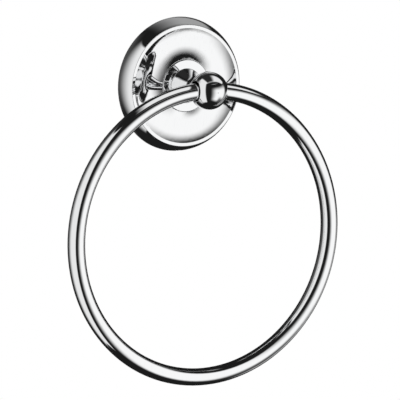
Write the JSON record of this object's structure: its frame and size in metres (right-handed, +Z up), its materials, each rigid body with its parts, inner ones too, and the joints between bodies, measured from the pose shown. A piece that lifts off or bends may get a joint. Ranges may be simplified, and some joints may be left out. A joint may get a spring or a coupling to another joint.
{
  "type": "towel ring",
  "caption": "Wall-mounted towel ring: a round hoop that swings in the ball end of a short turned post on a round flange with a dished face.",
  "frame": {"origin": "middle of the flange's back, on the wall, midway between the two wall screws", "axes": "+Z up, +X to the right as seen from the room, +Y into the wall, so the front faces -Y"},
  "size_m": [0.159, 0.0436, 0.1898],
  "materials": {
    "polished_chrome": "mirror polished chrome plate",
    "plated_steel": "bright zinc plate",
    "screw_steel": "plain stainless"
  },
  "bodies": {
    "holder": {"flange": "polished_chrome", "post": "polished_chrome", "wall_bracket": "plated_steel", "set_screw": "screw_steel", "post_screw": "screw_steel", "post_washer": "plated_steel"},
    "hoop": {"ring": "polished_chrome"}
  },
  "joints": [
    {"name": "ring_swing", "type": "hinge", "parent": "holder", "child": "hoop", "pos_m": [0, -0.0336, 0], "axis": [1, 0, 0], "range_deg": [-190, 10]}
  ]
}
